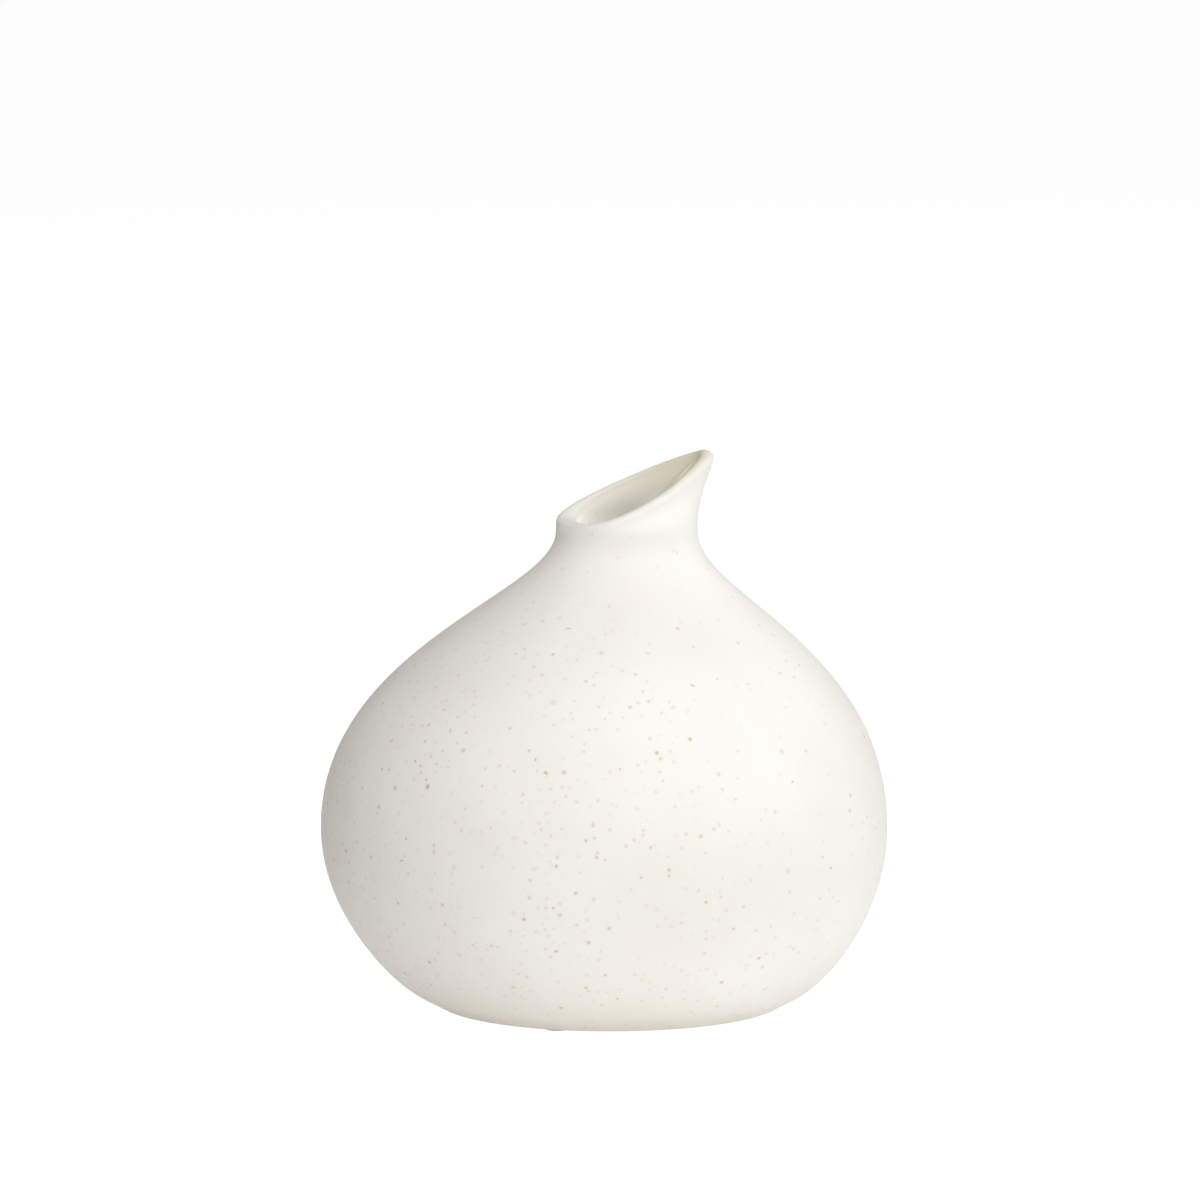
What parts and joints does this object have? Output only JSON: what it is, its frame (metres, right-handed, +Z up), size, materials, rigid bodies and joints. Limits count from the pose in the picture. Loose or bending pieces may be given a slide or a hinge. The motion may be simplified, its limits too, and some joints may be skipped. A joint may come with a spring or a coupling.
{
  "type": "ceramic bud vase",
  "caption": "Round squat bud vase in matte cream speckled stoneware, with a short off-centre neck and a slanted lip pinched into a spout.",
  "frame": {"origin": "on the table under the middle of the round belly, which is the bottom centre of the vase's box", "axes": "+Z up, +X towards the pinched spout, +Y across the vase; the XZ plane is its mirror plane"},
  "size_m": [0.12, 0.12, 0.1173],
  "materials": {
    "speckled_stoneware": "matte",
    "bare_clay": "matte",
    "liner_glaze": "gloss",
    "pad_rubber": "matte"
  },
  "bodies": {
    "root": {"stoneware_body": "speckled_stoneware", "foot_ring": "bare_clay", "liner_glaze": "liner_glaze", "foot_pad_1": "pad_rubber", "foot_pad_2": "pad_rubber", "foot_pad_3": "pad_rubber", "foot_pad_4": "pad_rubber"}
  },
  "joints": []
}
